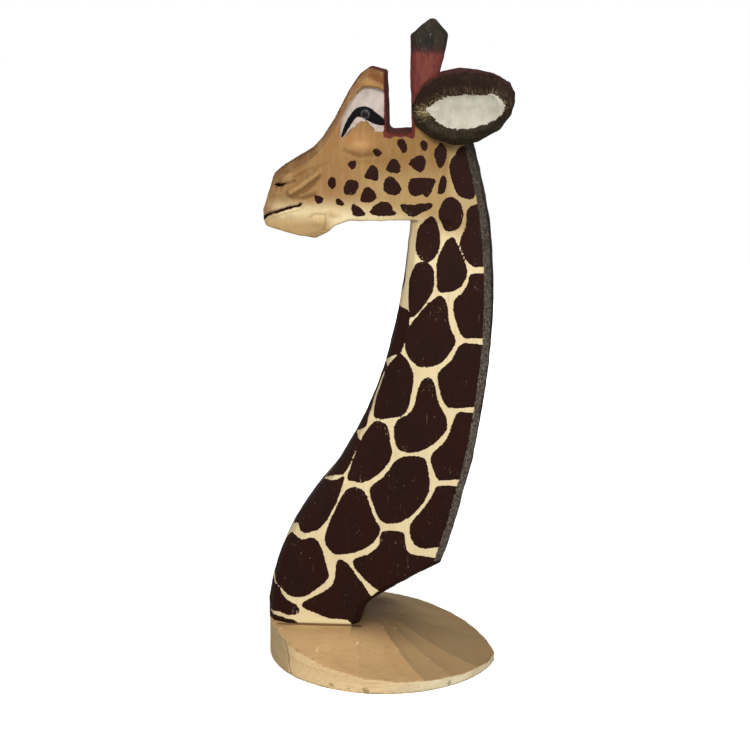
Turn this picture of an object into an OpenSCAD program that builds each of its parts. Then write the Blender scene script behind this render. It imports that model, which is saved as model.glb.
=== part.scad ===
// Carved giraffe statue: a head and neck cut from one board, two set-on ears, and a
// hand-cut base. +Z is up, the origin is on the underside of the base, the giraffe
// faces -X, and its left side is -Y. Lengths are in millimetres.

/* [Base] */

// Radius of each of the two cuts of the base outline
base_radius = 55.5; // [50:0.5:58]
// How far each cut is centred from the middle of the base, side to side
outline_shift = 4; // [0:0.5:8]
// Height of the flat pad that the foot stands on
pad_height = 18; // [12:0.5:22]
// Height of the rim beside the neck
rim_height = 7; // [5:0.5:12]
// Height of the thin end of the base
tail_height = 3; // [2:0.5:6]
// How far the middle of the hill on the base lies to the right of the neck
hill_shift = 6; // [0:1:8]
// Radius of the flatter cut round the right of the tail end
tail_cut_radius = 90; // [86:1:96]

/* [Neck] */

// Thickness of the foot, side to side
foot_thickness = 29; // [24:0.5:36]
// Thickness of the neck halfway up
neck_thickness = 28; // [22:0.5:34]
// Thickness of the neck at the head
nape_thickness = 26; // [20:0.5:32]
// Depth of the rounding along the front of the neck
front_round = 8; // [5:0.5:9]
// Width of the cut corners along the mane
mane_cut = 3.5; // [1:0.5:4]

/* [Head] */

// Thickness of the head
head_thickness = 27; // [22:1:32]
// Thickness of the muzzle at the nose
nose_thickness = 19; // [14:1:24]
// Width of the notch between the forehead and the horns, at its floor
notch_width = 11.1; // [6:0.1:11.1]
// Radius in the bottom corners of the notch
notch_radius = 1.5; // [0.5:0.1:3]
// Slope of the notch floor up to the right side, degrees
notch_slope = 2.5; // [0:0.5:4]
// Thickness of one horn
horn_thickness = 9; // [7:0.5:12]
// Height of the hewn point on a horn
horn_point = 7; // [2:0.5:10]
// Depth of the hollow cut for an eye
eye_depth = 2.6; // [1:0.1:4]
// Depth of a nostril
nostril_depth = 2; // [1:0.5:4]

/* [Ears] */

// Size of an ear along its length, against the drawn outline
ear_scale = 1; // [0.8:0.02:1.2]
// Thickness of an ear
ear_thickness = 10.5; // [8:0.5:15]
// Angle of an ear out from the side of the head, degrees
ear_angle = 24; // [18:1:40]
// Angle of an ear up from level, degrees
ear_lift = 4; // [0:1:20]
// Depth of the hollow in an ear
ear_hollow = 3; // [1.5:0.1:5]

/* [Pins and screws] */

// Diameter of the dowel that holds an ear
ear_dowel = 5; // [3:0.5:6]
// Length of that dowel in the head
ear_dowel_in_head = 8; // [6:0.5:11]
// Length of that dowel in the ear
ear_dowel_in_ear = 4; // [3:0.5:5]
// Diameter of the dowel in the foot
foot_dowel = 10; // [6:0.5:14]
// Length of the dowel in the foot
foot_dowel_length = 34; // [24:1:44]
// Outside diameter of the thread of a base screw
screw_thread = 4; // [3:0.5:5]
// Diameter of the head of a base screw
screw_head = 8; // [6:0.5:10]
// Length of a base screw
screw_length = 40; // [25:5:50]
// Diameter of the head of a pupil pin
pin_head = 4.2; // [3:0.1:6]
// Length of the shank of a pupil pin
pin_length = 8; // [5:0.5:10]
// Diameter of the shank of a pupil pin
pin_shank = 1.4; // [1:0.1:2]

/* [Fit] */

// Steps between two stations of the neck
steps = 3; // [1:1:5]
// Clearance all round a pin, a dowel or a screw
fit_gap = 0.1; // [0.05:0.05:0.3]
// Glue line between two pieces
glue_gap = 0.05; // [0.05:0.05:0.2]

/* [Hidden] */

$fn = 64;
// Longer than anything it cuts
through = 200;
// Middle of the pad, the two screws in it, and the start of the foot dowel
pad_x = -30;
screw_x = [-44, -16];
dowel_start = 6;
// Middle of the flatter cut at the tail end
tail_cut_at = [-34, -25.5];
// Front wall and floor of the notch, and how far each wall leans forward by the middle
notch_front = 2.1;
notch_floor = 249.8;
forehead_lean = 1;
horn_lean = 0.7;
// Front wall, root and middle of the horns, and the shoulder below their points
horn_front = 13.2;
horn_root = 245;
horn_middle = 277;
horn_shoulder = 293;
// The right horn and ear are not quite level with the left ones
right_horn_move = [-0.5, 0, -1];
right_ear_move = [-1.5, 0, -1.5];
right_ear_turn = 3;
// Middle of an eye and the radius of its hollow
eye_x = -7.5;
eye_z = 258.5;
eye_radius = 18;
// Where an ear starts on the side of the head, and its dowel
ear_root = [16, 262];
ear_dowel_at = [21.5, 260];
// Ends and height of the hollow in an ear, and the radius of the gouge
hollow_x = [13, 34];
hollow_y = -3;
gouge_radius = 12;
half_head = head_thickness / 2;
half_nose = nose_thickness / 2;

// The shape and its copy on the other side of the giraffe

module other_side() {
    mirror([0, 1, 0])
        children();
}

module both_sides() {
    children();
    other_side()
        children();
}

// Smooth curve through a list of stations

function along(p, q, r, s, t) =
    0.5 * (2 * q + (r - p) * t + (2 * p - 5 * q + 4 * r - s) * t * t
        + (3 * q - p - 3 * r + s) * t * t * t);
function at(list, i) = list[max(0, min(len(list) - 1, i))];
function smooth(list) = [
    for (i = [0:len(list) - 2], k = [0:steps - 1])
        along(at(list, i - 1), at(list, i), at(list, i + 1), at(list, i + 2), k / steps),
    list[len(list) - 1]
];

// Closed skin over rings of points that turn the same way, from the lowest ring up

module skin(rings) {
    m = len(rings[0]);
    n = len(rings);
    sides = [
        for (i = [0:n - 2], j = [0:m - 1], half = [0, 1])
            let (a = i * m + j, b = i * m + (j + 1) % m, c = a + m, d = b + m)
                half == 0 ? [a, c, d] : [a, d, b]
    ];
    ends = [
        [for (j = [0:m - 1]) j],
        [for (j = [m - 1:-1:0]) (n - 1) * m + j]
    ];
    polyhedron(points = [for (r = rings, p = r) p], faces = concat(sides, ends));
}

// One ring of the neck: front x, front z, back x, back z, half thickness, front rounding

function neck_ring(s) =
    let (
        run = norm([s[2] - s[0], s[3] - s[1]]),
        ux = (s[2] - s[0]) / run,
        uz = (s[3] - s[1]) / run,
        half = [
            [0, 0.42 * s[4]], [0.25 * s[5], 0.76 * s[4]], [s[5], s[4]],
            [run - mane_cut, s[4]], [run, s[4] - mane_cut]
        ]
    )
    [
        for (h = half) [s[0] + ux * h[0], -h[1], s[1] + uz * h[0]],
        for (k = [len(half) - 1:-1:0])
            [s[0] + ux * half[k][0], half[k][1], s[1] + uz * half[k][0]]
    ];

// Stations up to the corner at the end of the mane, and from there to the nape

module neck_part() {
    low = foot_thickness / 2;
    mid = neck_thickness / 2;
    top = nape_thickness / 2;
    c = front_round;
    seat = pad_height + glue_gap;
    corner = [-42.6, 65.5, 27.9, 49.5, low, c];
    foot = [
        [-54.5, seat, -10.5, seat, low, c + 2],
        [-54.5, 28, -7, 27.5, low, c + 2],
        [-52.3, 40.5, -1, 32.5, low, c + 1],
        [-48, 53.5, 12, 41, low, c],
        corner
    ];
    neck = [
        corner,
        [-33.4, 80, 33.2, 66, low, c],
        [-21.4, 95.5, 38, 84, mid + 0.2, c],
        [-12.2, 111.5, 42.2, 101, mid, c],
        [-4.8, 128, 45.3, 118, mid, c],
        [1.5, 146, 48.1, 138, mid, c - 1],
        [6, 165, 50, 158, mid - 0.2, c - 2],
        [9.5, 184, 50.4, 180, mid - 0.4, c - 3],
        [12, 205, 48.7, 206, top + 0.1, c - 4],
        [14, 226, 45, 226, top, c - 4],
        [16, 246, 40, 246, top, c - 4],
        [18, 256, 35.5, 256, top, c - 4],
        [19, 262, 28, 264.5, top - 1, c - 4]
    ];
    lower = smooth(foot);
    rings = concat([for (i = [0:len(lower) - 2]) lower[i]], smooth(neck));
    skin([for (s = rings) neck_ring(s)]);
}

// The head is one outline seen from the side, cut again from above and from the front

module head_part() {
    intersection() {
        rotate([90, 0, 0])
            linear_extrude(head_thickness, center = true)
                polygon([
                    [-53, 208], [-54.5, 210.5], [-54.5, 215], [-50.5, 226.5], [-49, 231.5],
                    [-46, 234.5], [-37.5, 239.5], [-31.5, 243], [-26.5, 248.5],
                    [-21.5, 256], [-14.5, 269.3], [-9.5, 276.4], [-6, 278.8], [2, 276.6],
                    [horn_front, 276.6], [horn_front, 264], [26, 264], [30, 255],
                    [34, 235], [32, 211.5], [12.5, 211.5], [-15, 211], [-21.5, 208.5],
                    [-24.5, 205.5], [-30.5, 202.8], [-43, 205]
                ]);
        linear_extrude(300)
            polygon([
                [-55, 3 - half_nose], [-52, -half_nose], [-20, -half_head],
                [40, -half_head], [40, half_head], [-20, half_head], [-52, half_nose],
                [-55, half_nose - 3]
            ]);
        rotate([90, 0, 90])
            linear_extrude(through, center = true)
                polygon([
                    [4 - half_head, 200], [-half_head, 209], [-half_head, 262],
                    [2.5 - half_head, 281], [half_head - 2.5, 281], [half_head, 262],
                    [half_head, 209], [half_head - 4, 200]
                ]);
    }
}

// The left horn: a flat stem that widens upward to a hewn point

module horn() {
    inner = horn_thickness - half_head;
    skin([
        for (s = [
            [horn_front, 27, horn_root, 0],
            [horn_front - horn_lean, 25.3, horn_middle, 0],
            [horn_front - horn_lean - 0.1, 28.9, horn_shoulder, 0],
            [20.8, 23.3, horn_shoulder + horn_point, 3.2]
        ])
            [
                [s[0], s[3] - half_head, s[2]],
                [s[1], s[3] - half_head, s[2]],
                [s[1], inner - s[3], s[2]],
                [s[0], inner - s[3], s[2]]
            ]
    ]);
}

// Notch between the forehead and the horns, with rounded bottom corners. Its floor is
// notch_floor high at the left side of the head and rises from there.

module notch() {
    back = notch_front + notch_width;
    near = notch_front + notch_radius;
    far = back - notch_radius;
    low = notch_floor + notch_radius;
    high = notch_floor + through;
    translate([0, -half_head, notch_floor])
        rotate([notch_slope, 0, 0])
            translate([0, half_head, -notch_floor]) {
                rotate([90, 0, 0])
                    linear_extrude(through, center = true)
                        polygon([
                            [near, notch_floor], [far, notch_floor], [back, low],
                            [back - horn_lean, horn_middle],
                            [back - horn_lean - 0.1, horn_shoulder],
                            [back - horn_lean - 0.1, high],
                            [notch_front - forehead_lean, high],
                            [notch_front - forehead_lean, horn_middle],
                            [notch_front, low]
                        ]);
                for (x = [near, far])
                    translate([x, 0, low])
                        rotate([90, 0, 0])
                            cylinder(r = notch_radius, h = through, center = true);
            }
}

// Hollow of an eye, nostril, and mouth on the left side

module face_cuts() {
    mouth_length = 18;
    mouth_width = 1.2;
    translate([eye_x, eye_depth - eye_radius - half_head, eye_z])
        sphere(r = eye_radius);
    translate([-47, nostril_depth - half_nose - 1, 225])
        rotate([90, 0, 0])
            cylinder(d = 3.5, h = through);
    translate([-46, -half_nose, 213])
        rotate([0, -17, 0])
            translate([0, -mouth_length / 2 + 0.5, 0])
                cube([mouth_length, mouth_length, mouth_width], center = true);
}

// A pin or its bore runs into the head from the floor of the left eye

module at_eye() {
    seat = 0.15;
    translate([eye_x, eye_depth - half_head - seat, eye_z])
        rotate([-90, 0, 0])
            children();
}

// A dowel or its bore crosses the joint between the head and the left ear

module at_ear_dowel() {
    translate([ear_dowel_at[0], ear_dowel_in_head - half_head, ear_dowel_at[1]])
        rotate([90, 0, 0])
            children();
}

module neck_and_head() {
    color("saddlebrown")
    difference() {
        union() {
            neck_part();
            head_part();
            horn();
            translate(right_horn_move)
                other_side()
                    horn();
        }
        notch();
        both_sides() {
            face_cuts();
            at_eye()
                translate([0, 0, -pin_shank])
                    cylinder(d = pin_shank + 2 * fit_gap, h = pin_length + 2 * pin_shank);
            at_ear_dowel()
                translate([0, 0, -fit_gap])
                    cylinder(d = ear_dowel + 2 * fit_gap, h = 2 * ear_dowel_in_head);
        }
        translate([pad_x, 0, 0])
            cylinder(d = foot_dowel + 2 * fit_gap,
                h = dowel_start + foot_dowel_length + fit_gap);
        for (x = screw_x)
            translate([x, 0, 0])
                cylinder(d = screw_thread + 2 * fit_gap, h = screw_length + 2);
    }
}

// An ear, drawn flat and set on the left side: length along x, height along y, outward
// along z. The move and the turn are small differences from the left ear's own place.

module ear(move = [0, 0, 0], turn = 0) {
    middle = [24, -1.5];
    outline = [
        [-2.8, 0], [-1, -8], [6, -14], [17, -17.5], [28, -16.5], [38, -12], [44, -6.5],
        [47, 0], [47, 4], [44, 8.5], [38, 12], [30, 14.5], [22, 15.5], [13, 14.5], [4, 9.5]
    ];
    back = -ear_thickness / 2;
    front = ear_thickness / 2;
    gouge_z = front + gouge_radius - ear_hollow;
    color("dimgray")
    difference() {
        translate([ear_root[0], -half_head, ear_root[1]] + move)
            rotate([0, 0, turn - ear_angle])
                rotate([0, -ear_lift, 0])
                    rotate([90, 0, 0])
                        scale(ear_scale)
                            difference() {
                                skin([
                                    for (level = [
                                        [back, 0.5], [back + 2.5, 0.82], [-0.5, 1],
                                        [1.5, 1], [front, 0.8]
                                    ])
                                        [
                                            for (p = outline)
                                                concat(
                                                    middle + (p - middle) * level[1],
                                                    level[0]
                                                )
                                        ]
                                ]);
                                for (x = hollow_x)
                                    translate([x, hollow_y, gouge_z])
                                        sphere(r = gouge_radius);
                                translate([hollow_x[0], hollow_y, gouge_z])
                                    rotate([0, 90, 0])
                                        cylinder(r = gouge_radius,
                                            h = hollow_x[1] - hollow_x[0]);
                            }
        // Flat seat on the side of the head
        translate([-through / 2, -half_head - glue_gap, 0])
            cube([through, through, 2 * through]);
        at_ear_dowel()
            cylinder(d = ear_dowel + 2 * fit_gap,
                h = ear_dowel_in_head + ear_dowel_in_ear + fit_gap);
    }
}

module ear_right() {
    other_side()
        ear(right_ear_move, right_ear_turn);
}

module ear_dowel_left() {
    color("tan")
    at_ear_dowel()
        cylinder(d = ear_dowel, h = ear_dowel_in_head + ear_dowel_in_ear);
}

module foot_dowel_pin() {
    color("tan")
    translate([pad_x, 0, dowel_start])
        cylinder(d = foot_dowel, h = foot_dowel_length);
}

// A pupil pin has a low domed head on a plain shank

module pupil_pin_left() {
    rim = 0.5;
    dome = 0.5;
    ball = (pow(pin_head / 2, 2) + dome * dome) / (2 * dome);
    color("black")
    at_eye() {
        cylinder(d = pin_shank, h = pin_length);
        translate([0, 0, -rim])
            cylinder(d = pin_head, h = rim);
        intersection() {
            translate([0, 0, ball - rim - dome])
                sphere(r = ball);
            translate([0, 0, -rim - dome])
                cylinder(d = pin_head, h = dome);
        }
    }
}

// A countersunk wood screw, with its head in the underside of the base

module base_screw() {
    head_height = (screw_head - screw_thread) / 2;
    sunk = 0.6;
    slot = [screw_head + 1, 1, 1.1];
    difference() {
        translate([0, 0, sunk]) {
            cylinder(d1 = screw_head, d2 = screw_thread, h = head_height);
            translate([0, 0, head_height])
                cylinder(d = screw_thread, h = screw_length - head_height - screw_thread);
            translate([0, 0, screw_length - screw_thread])
                cylinder(d1 = screw_thread, d2 = 0.6, h = screw_thread);
        }
        translate([0, 0, sunk])
            cube([slot[0], slot[1], 2 * slot[2]], center = true);
    }
}

module base_screws() {
    color("silver")
    for (x = screw_x)
        translate([x, 0, 0])
            base_screw();
}

// The base is cut round twice and once more at the right of the tail end, and its top
// falls away from the pad on all sides

module base() {
    hole = screw_thread + 4 * fit_gap;
    sink = screw_head + 1.6;
    color("burlywood")
    difference() {
        intersection() {
            translate([0, outline_shift, 0])
                cylinder(r = base_radius, h = pad_height, $fn = 96);
            translate([0, -outline_shift, 0])
                cylinder(r = base_radius, h = pad_height, $fn = 96);
            translate(tail_cut_at)
                cylinder(r = tail_cut_radius, h = pad_height, $fn = 96);
            translate([pad_x, hill_shift, 0])
                rotate_extrude()
                    polygon([
                        [0, 0], [96, 0], [92, tail_height - 0.6], [78, tail_height + 1.6],
                        [64, rim_height + 0.2], [52, rim_height + 3.6],
                        [43, pad_height - 4], [36, pad_height - 1.2],
                        [31.5, pad_height], [0, pad_height]
                    ]);
        }
        translate([pad_x, 0, dowel_start - fit_gap])
            cylinder(d = foot_dowel + 2 * fit_gap, h = pad_height);
        for (x = screw_x)
            translate([x, 0, -1]) {
                cylinder(d = hole, h = pad_height + 2);
                cylinder(d1 = sink + 2, d2 = hole, h = (sink + 2 - hole) / 2);
            }
    }
}

base();
neck_and_head();
ear();  // ear_left
ear_right();
ear_dowel_left();
other_side() ear_dowel_left();  // ear_dowel_right
foot_dowel_pin();  // foot_dowel
base_screws();
pupil_pin_left();
other_side() pupil_pin_left();  // pupil_pin_right
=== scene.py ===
"""Looks of the carved giraffe statue: knife-cut wood, hand painting, light and camera.

Lengths are in millimetres unless a name ends in _m. The statue faces -X and its left side
is -Y. An (x, z) outline is a shape on the side of the board, seen from the left.
"""
import math

import bmesh
import bpy
import numpy as np
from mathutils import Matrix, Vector, kdtree


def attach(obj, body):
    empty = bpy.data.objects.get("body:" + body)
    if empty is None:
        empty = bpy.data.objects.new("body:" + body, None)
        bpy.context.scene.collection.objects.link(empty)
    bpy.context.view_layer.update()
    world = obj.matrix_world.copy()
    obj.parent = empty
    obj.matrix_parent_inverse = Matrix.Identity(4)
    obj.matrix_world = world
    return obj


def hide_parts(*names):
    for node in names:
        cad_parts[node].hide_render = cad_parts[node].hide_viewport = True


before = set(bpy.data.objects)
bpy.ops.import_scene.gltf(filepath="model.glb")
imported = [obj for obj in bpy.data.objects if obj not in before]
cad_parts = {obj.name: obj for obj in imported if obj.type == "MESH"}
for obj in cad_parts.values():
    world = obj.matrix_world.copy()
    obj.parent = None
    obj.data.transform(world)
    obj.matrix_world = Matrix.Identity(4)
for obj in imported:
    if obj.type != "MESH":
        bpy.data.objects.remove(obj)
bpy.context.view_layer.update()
MM = 0.001

# ------------------------ driving sizes

# How fine the re-cut meshes are

CARVING_VOXEL = 0.85
EAR_VOXEL = 0.55
BASE_VOXEL = 0.7

# The head, the notch before the horns, and the trims

HALF_HEAD = 13.5
BEVEL_START = 262
BEVEL_HEIGHT = 19
BEVEL_SLOPE = 2.5 / BEVEL_HEIGHT
JAW_Z = 209
NOTCH = (2.1, 13.2)
NOTCH_FLOOR = 249.8
EYE = (-7.5, 258.5)
EYE_HOLLOW = 9.8
PUPIL_RING = 1.75
MANE_WIDTH = 4.1
MANE_FOOT = 51
CAP_Z = 285
SPOT_GROWTH = 0.25

# The left ear, and how the right one is moved and turned away from its mirror image

EAR_ROOT = (16, -13.5, 262)
EAR_TURN = 24
EAR_LIFT = 4
RIGHT_EAR_MOVE = (-1.5, 0, -1.5)
RIGHT_EAR_TURN = 21

# The foot plate is what two discs share, each shifted past the middle; the knife leaves
# at least LEAST_BASE of it

BASE_RADIUS = 55.5
BASE_SHIFT = 4
LEAST_BASE = 2.2

# Outlines and lines on the side of the board, (x, z)

EYE_WHITE = [
    (-18.5, 248), (-18, 255.5), (-15.8, 261), (-12.4, 266), (-8.7, 269.6), (-5, 270.2),
    (0.6, 268.6), (1.5, 262), (1.5, 250.4), (-3.3, 250.6), (-9.2, 254), (-13, 252),
]
LID_MOUND = [
    (-20, 244), (-17, 248.2), (-13.5, 251.6), (-9.2, 255.8), (-7.5, 255.4), (-3.3, 251.2),
    (3, 250.6), (3, 238), (-20, 238),
]
LASH = [
    (-18.3, 248.4), (-17.4, 252), (-15.6, 255.8), (-13.4, 259.2), (-11.2, 261.2),
    (-8.6, 261.9), (-5.6, 261.3), (-2.4, 259), (0.8, 256.4), (0.8, 253.7), (-3, 254.1),
    (-6.2, 255.5), (-8, 256.4), (-10.8, 257.2), (-12.6, 255.6), (-14.8, 252.4), (-17, 249),
]
HEAD_FRONT = [
    (1.5, 277.5), (-6, 279.6), (-9.5, 276.6), (-14.5, 269.3), (-21.5, 256), (-26.5, 248.5),
    (-31.5, 243), (-37.5, 239.5), (-46, 234.5), (-49, 231.5), (-50.5, 226.5), (-54.5, 215),
    (-54.5, 210.5),
]
MOUTH = [
    (-56, 210.6), (-53, 212.4), (-50.6, 213.6), (-46, 215), (-41.5, 216.6), (-37.6, 217.4),
    (-36.7, 218.3),
]
NOSTRIL = [
    (-49.2, 226.8), (-48.4, 227.3), (-45.4, 227), (-43.4, 227.5), (-44.8, 226.2), (-47.6, 225.4),
]

MUZZLE_RIDGE = [(-41.3, 223.2), (-36, 226.8), (-29, 231.8)]
MUZZLE_FOLD = [(-41.4, 221.4), (-36.9, 223.2), (-32.6, 226.4), (-27.6, 231.2)]
LOWER_FOLD = [(-41, 220.6), (-36, 220.4), (-30.2, 222)]
CHIN_CREASE = [(-32.8, 212), (-30.4, 213.8), (-25.6, 213.6), (-25.4, 210), (-26.4, 206.6)]

HEAD_SPOTS = [
    [(-3.8, 242.2), (-2.2, 243.6), (-0.2, 241.6), (-2, 240)],
    [(7, 246.2), (8.6, 247.6), (10, 246.8), (11.2, 243.4), (9.8, 241.8), (8.6, 243)],
    [(17.2, 246.6), (19, 247), (20.4, 245.4), (19.2, 242.6), (17.6, 244)],
    [(23.4, 241), (24.6, 244.4), (26.4, 246), (28.4, 243.6), (28.4, 239), (25.8, 235.2)],
    [(-15.2, 236.6), (-12, 238), (-11.8, 235.8), (-13, 234.4)],
    [(-7.2, 230.4), (-6.8, 233), (-4.2, 236.4), (-1.6, 233), (-2, 229.4), (-4, 230)],
    [(2, 234), (3.8, 237.6), (5.6, 239), (7.8, 237), (8.2, 233.4), (6, 232.8)],
    [(12.2, 236.8), (14.8, 239.8), (18.4, 240.4), (19.4, 236.6), (17.2, 233.4)],
    [(-24, 228), (-23, 230.4), (-20.8, 229.6), (-21, 226.6), (-22.4, 225.4)],
    [(-16.8, 224), (-16, 228.4), (-13.6, 229.4), (-10.4, 228), (-12, 223.6), (-14, 223)],
    [(1, 225), (2, 230.2), (4.4, 231.2), (6, 229.6), (8.8, 225.6), (5.8, 222.8)],
    [(12.6, 224.4), (12.8, 230.2), (23, 230.2), (23.2, 227.8), (20.4, 222), (18.4, 223.6), (15, 222.6)],
    [(25.2, 224.4), (26.2, 230), (27.4, 231.8), (28.8, 229.6), (28.2, 225), (27, 223.8)],
    [(-9.4, 221), (-8, 225.2), (-6, 226.2), (-3.8, 224.6), (-2.4, 221.8), (-5, 219.8), (-8.6, 220)],
    [(-30.2, 222), (-26.4, 221), (-28.4, 218.6)],
    [(-20.4, 220.4), (-19.4, 221.2), (-17, 218.8), (-18.2, 218.2), (-20, 219)],
    [(-13.4, 218.6), (-10.4, 217.6), (-7.4, 214.6), (-9.2, 213.6), (-12.6, 214.2)],
    [(-5.2, 215.4), (-1.4, 219), (1.6, 219.8), (4, 218.6), (4.6, 216), (6.6, 214.6), (3, 213.8),
     (-2, 213.8)],
    [(8.4, 218.6), (14, 218.4), (21.8, 219.6), (22, 217.4), (18, 215.4), (15.4, 213.8), (12, 213.8)],
]

# The dark patches of the neck; x runs on round the front of the neck as an unrolled length

NECK_PATCHES = [
    [(30, 235.5), (33, 242), (35.5, 244.8), (39, 244.2), (41.5, 240), (41.8, 225), (40, 221.4),
     (33.5, 224)],
    [(31.5, 222.3), (35.5, 219), (36.5, 214), (34.5, 208.5), (29.5, 206.8), (26.5, 211),
     (25.5, 216), (28, 221)],
    [(43.5, 219.5), (52, 220), (60, 191), (47, 191.2), (40, 191.6), (35.2, 201), (37.5, 209),
     (38.4, 217)],
    [(21.5, 213.5), (25, 210.5), (26.2, 202), (25, 196.5), (21.5, 193.2), (18, 193.8),
     (15.4, 198), (16, 207)],
    [(31.5, 204.4), (33.6, 202), (38.5, 190), (37.2, 184), (33.5, 180.3), (27, 179), (25, 183),
     (25, 193), (28, 201)],
    [(17, 193), (23, 190.4), (23.6, 181), (20, 174), (14.5, 167.8), (11, 169.6), (9.4, 177),
     (10.2, 185.5)],
    [(41, 188), (48, 188.2), (60, 188), (60, 159), (48, 158.6), (43, 158.2), (36, 160),
     (32.4, 174.6), (37.2, 179.6), (39.4, 186)],
    [(24, 176.6), (29, 175.6), (31, 164), (33.8, 157), (31, 151), (26, 145.8), (16.5, 145),
     (10.6, 153.5), (12.8, 163.5)],
    [(8.2, 171), (12.2, 164), (9.2, 153), (4.5, 149.5), (-14, 147), (-14, 170)],
    [(36.5, 155.6), (46, 155.6), (60, 156), (60, 127), (43, 126.2), (34, 125.4), (29, 127.2),
     (26, 137), (26.4, 142.5), (32.5, 149)],
    [(9, 150.6), (14.6, 141.5), (13.2, 129), (10.5, 122), (4, 120.2), (-4.2, 119.8), (-5.6, 126),
     (-3, 139), (3, 147)],
    [(20.5, 139.8), (24.2, 137.5), (26, 129), (30.4, 119), (28.5, 112.5), (21, 106), (13, 103.8),
     (7, 106.6), (6.4, 118), (14, 124), (17, 135)],
    [(34.6, 122.8), (42, 123.4), (56, 124), (56, 90), (36, 91.2), (27, 91), (24.8, 94),
     (23, 102.4), (30, 110.5)],
    [(-4.5, 118), (2.5, 117), (4.2, 109), (4.8, 101.5), (0, 94.5), (-6, 90), (-11, 89),
     (-17.4, 92.6), (-12.5, 109)],
    [(-13.5, 109), (-16.8, 101), (-19.5, 93.4), (-26, 91.4), (-46, 89), (-36, 112)],
    [(8, 101), (18, 102), (21, 99), (22.6, 88), (20, 80.5), (13, 72.4), (5, 69.2), (-1, 71.8),
     (-5.4, 85.5), (1, 92)],
    [(-26, 89.2), (-20, 91.4), (-18.4, 88), (-21, 79), (-26.6, 68.6), (-31, 65), (-38, 63.6),
     (-43, 67), (-54, 65.5), (-58, 76), (-46, 86)],
    [(-15.5, 86), (-8, 84.8), (-3.4, 72.5), (-0.4, 66.4), (-3, 60.6), (-9, 56), (-17, 53.6),
     (-23, 54.2), (-26.6, 62), (-21, 77)],
    [(26, 88), (35, 88.4), (50, 89), (48, 60), (28.5, 58.4), (19, 57.6), (14.4, 61.5), (13.6, 69),
     (19.5, 77), (24, 84)],
    [(-47, 62), (-38, 60.4), (-32, 61.6), (-28.4, 57), (-26, 48), (-25, 41.5), (-33, 34),
     (-39.5, 31.4), (-48, 34.4), (-60, 43), (-60, 51)],
    [(0.5, 65.2), (10, 65.2), (11.5, 59), (14.5, 54.6), (26, 52.6), (32, 46), (8, 28), (-1.6, 36),
     (-9, 42.5), (-13.6, 50.6), (-6, 54), (-1, 59)],
    [(-21, 50), (-16.4, 49.6), (-11.6, 43), (-5, 33.4), (-3, 26), (-8, 16), (-12, 16),
     (-16, 20.6), (-24, 21.2), (-31, 23.6), (-38, 28), (-27, 35), (-22.4, 40)],
    [(-54, 37), (-47, 31.2), (-40.5, 27.8), (-39, 24.2), (-43, 22.4), (-54, 23.2), (-72, 23.6),
     (-72, 40)],
    [(-72, 22), (-54, 21.2), (-46, 20.6), (-41, 19.6), (-40, 15), (-56, 13), (-72, 13)],
    [(6.5, 203), (5.5, 191), (4, 181), (-8, 176), (-20, 178), (-20, 205), (-6, 206)],
    [(-1, 144.5), (-5, 139), (-8.6, 129), (-9, 121), (-12.5, 114), (-36, 113), (-30, 144)],
    [(-56, 61.5), (-63, 53), (-65, 43), (-80, 42), (-80, 62)],
]
FOOT_STRIP = [(-44, 20.8), (-36, 22.8), (-26, 20.8), (-14.5, 20.4), (-16, 16), (-30, 16), (-44, 16)]

# Inside the left ear: (length, height) from its root

EAR_WHITE = [
    (6.2, -1.6), (10.7, 1.8), (16, 3.9), (23.2, 4.4), (30.5, 3.8), (37.3, 3.8), (41.9, 2.4),
    (43.2, -1.6), (41.6, -4.8), (37.8, -7.2), (32, -9), (25.6, -10.3), (19.2, -10), (12.4, -8),
]

# The dark band round the back and top of each ear's rim, in the same measures

EAR_BAND = [
    (-2, 3), (3, 8), (13, 12.6), (27, 14.6), (37, 12.2), (46, 7), (60, 9), (40, 30), (-10, 25),
]

# Facets that the knife left on the base: each starts at a bearing in degrees about one
# point and runs to the next one's, with how dark it is painted and how deeply it is scooped.
# The darkness is painted shade, deepest on the facets that slope away to the back and right
# under the neck. Near the foot of the neck their edges hook round by FACET_HOOK degrees

FACET_CENTRE = (-16, 14)
FACETS = [
    (-168, 0.15, 0.9), (-132, 0.05, 1.1), (-104, 0.0, 1.1), (-82, 0.1, 0.9), (-58, 0.62, 0.8),
    (-46, 0.72, 0.5), (-33, 1.05, 0.35), (-6, 0.92, 0.4), (24, 1.0, 0.6), (62, 0.7, 0.9),
    (100, 0.4, 1.0), (140, 0.3, 0.9),
]
FACET_HOOK = 34
CRACK_BEARING = 217


# ------------------------ small mathematics


def step(low, high, value):
    t = np.clip((value - low) / (high - low), 0, 1)
    return t * t * (3 - 2 * t)


def curve(points, closed=True, pieces=4):
    """A smooth curve through a few points (Catmull-Rom)."""
    p = np.array(points, float)
    if closed:
        a, b, c, d = np.roll(p, 1, 0), p, np.roll(p, -1, 0), np.roll(p, -2, 0)
    else:
        q = np.vstack([2 * p[0] - p[1], p, 2 * p[-1] - p[-2]])
        a, b, c, d = q[:-3], q[1:-2], q[2:-1], q[3:]
    rows = []
    for t in np.arange(pieces) / pieces:
        square = (2 * a - 5 * b + 4 * c - d) * t**2 / 2
        cube = (3 * b - 3 * c + d - a) * t**3 / 2
        rows.append(b + (c - a) * t / 2 + square + cube)
    line = np.stack(rows, 1).reshape(-1, 2)
    return line if closed else np.vstack([line, p[-1]])


def from_segment(x, z, a, b):
    """The nearest place on the line from a to b, 0 to 1, and the square of its distance."""
    ex, ez = b[0] - a[0], b[1] - a[1]
    t = np.clip(((x - a[0]) * ex + (z - a[1]) * ez) / (ex * ex + ez * ez + 1e-12), 0, 1)
    return t, (x - a[0] - t * ex) ** 2 + (z - a[1] - t * ez) ** 2


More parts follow.
